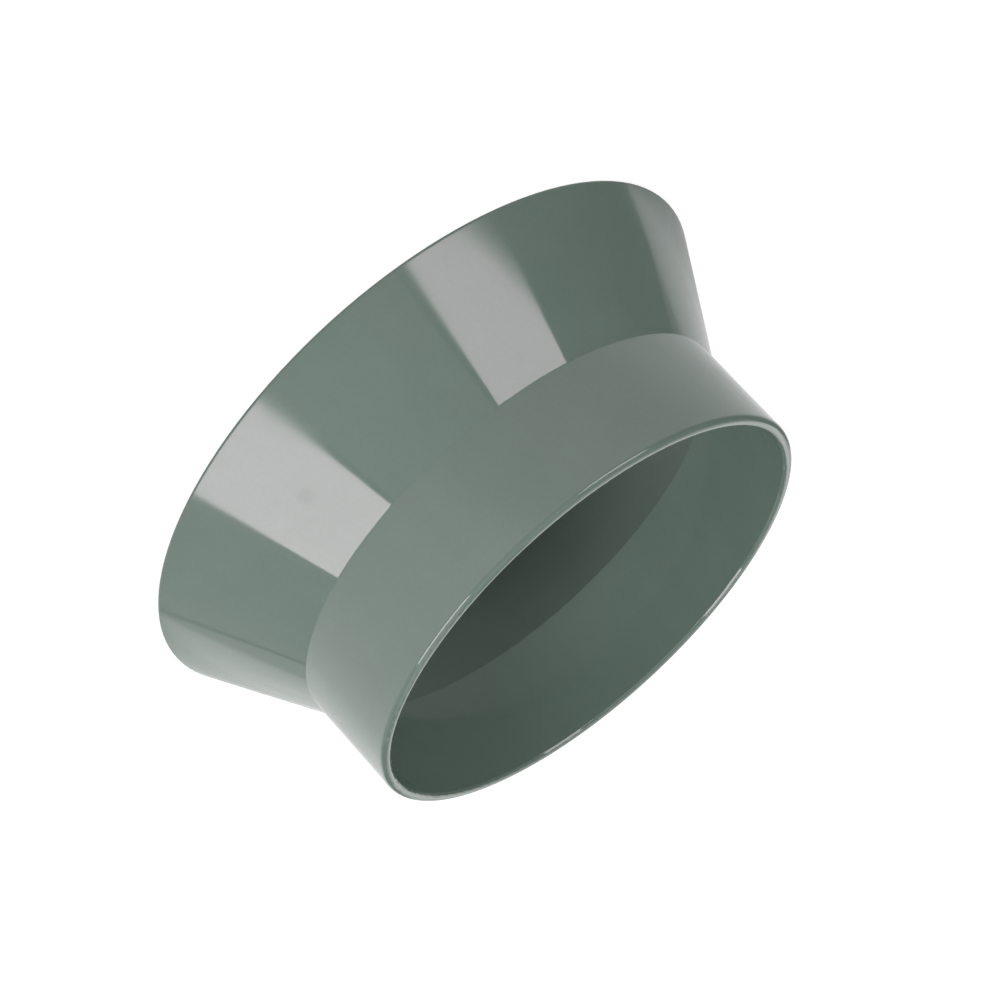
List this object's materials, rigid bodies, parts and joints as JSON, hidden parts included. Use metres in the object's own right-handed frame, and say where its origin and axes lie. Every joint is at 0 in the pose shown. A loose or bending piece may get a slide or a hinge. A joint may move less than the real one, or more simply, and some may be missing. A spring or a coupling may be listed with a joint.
{
  "type": "pipe weather collar",
  "caption": "Round plastic collar for a soil pipe: a short tube with a conical skirt that sheds rain over the roof flashing's upstand.",
  "frame": {"origin": "centre of the skirt's rim, in the plane that the rim rests on", "axes": "+Z along the bore's axis, from the skirt's rim to the mouth of the tube; X and Y lie in the rim's plane and may point anywhere round the axis, because the collar is a solid of revolution"},
  "size_m": [0.1508, 0.1508, 0.0578],
  "materials": {
    "grey_green_pvc": "gloss"
  },
  "bodies": {
    "root": {"weather_collar": "grey_green_pvc"}
  },
  "joints": []
}
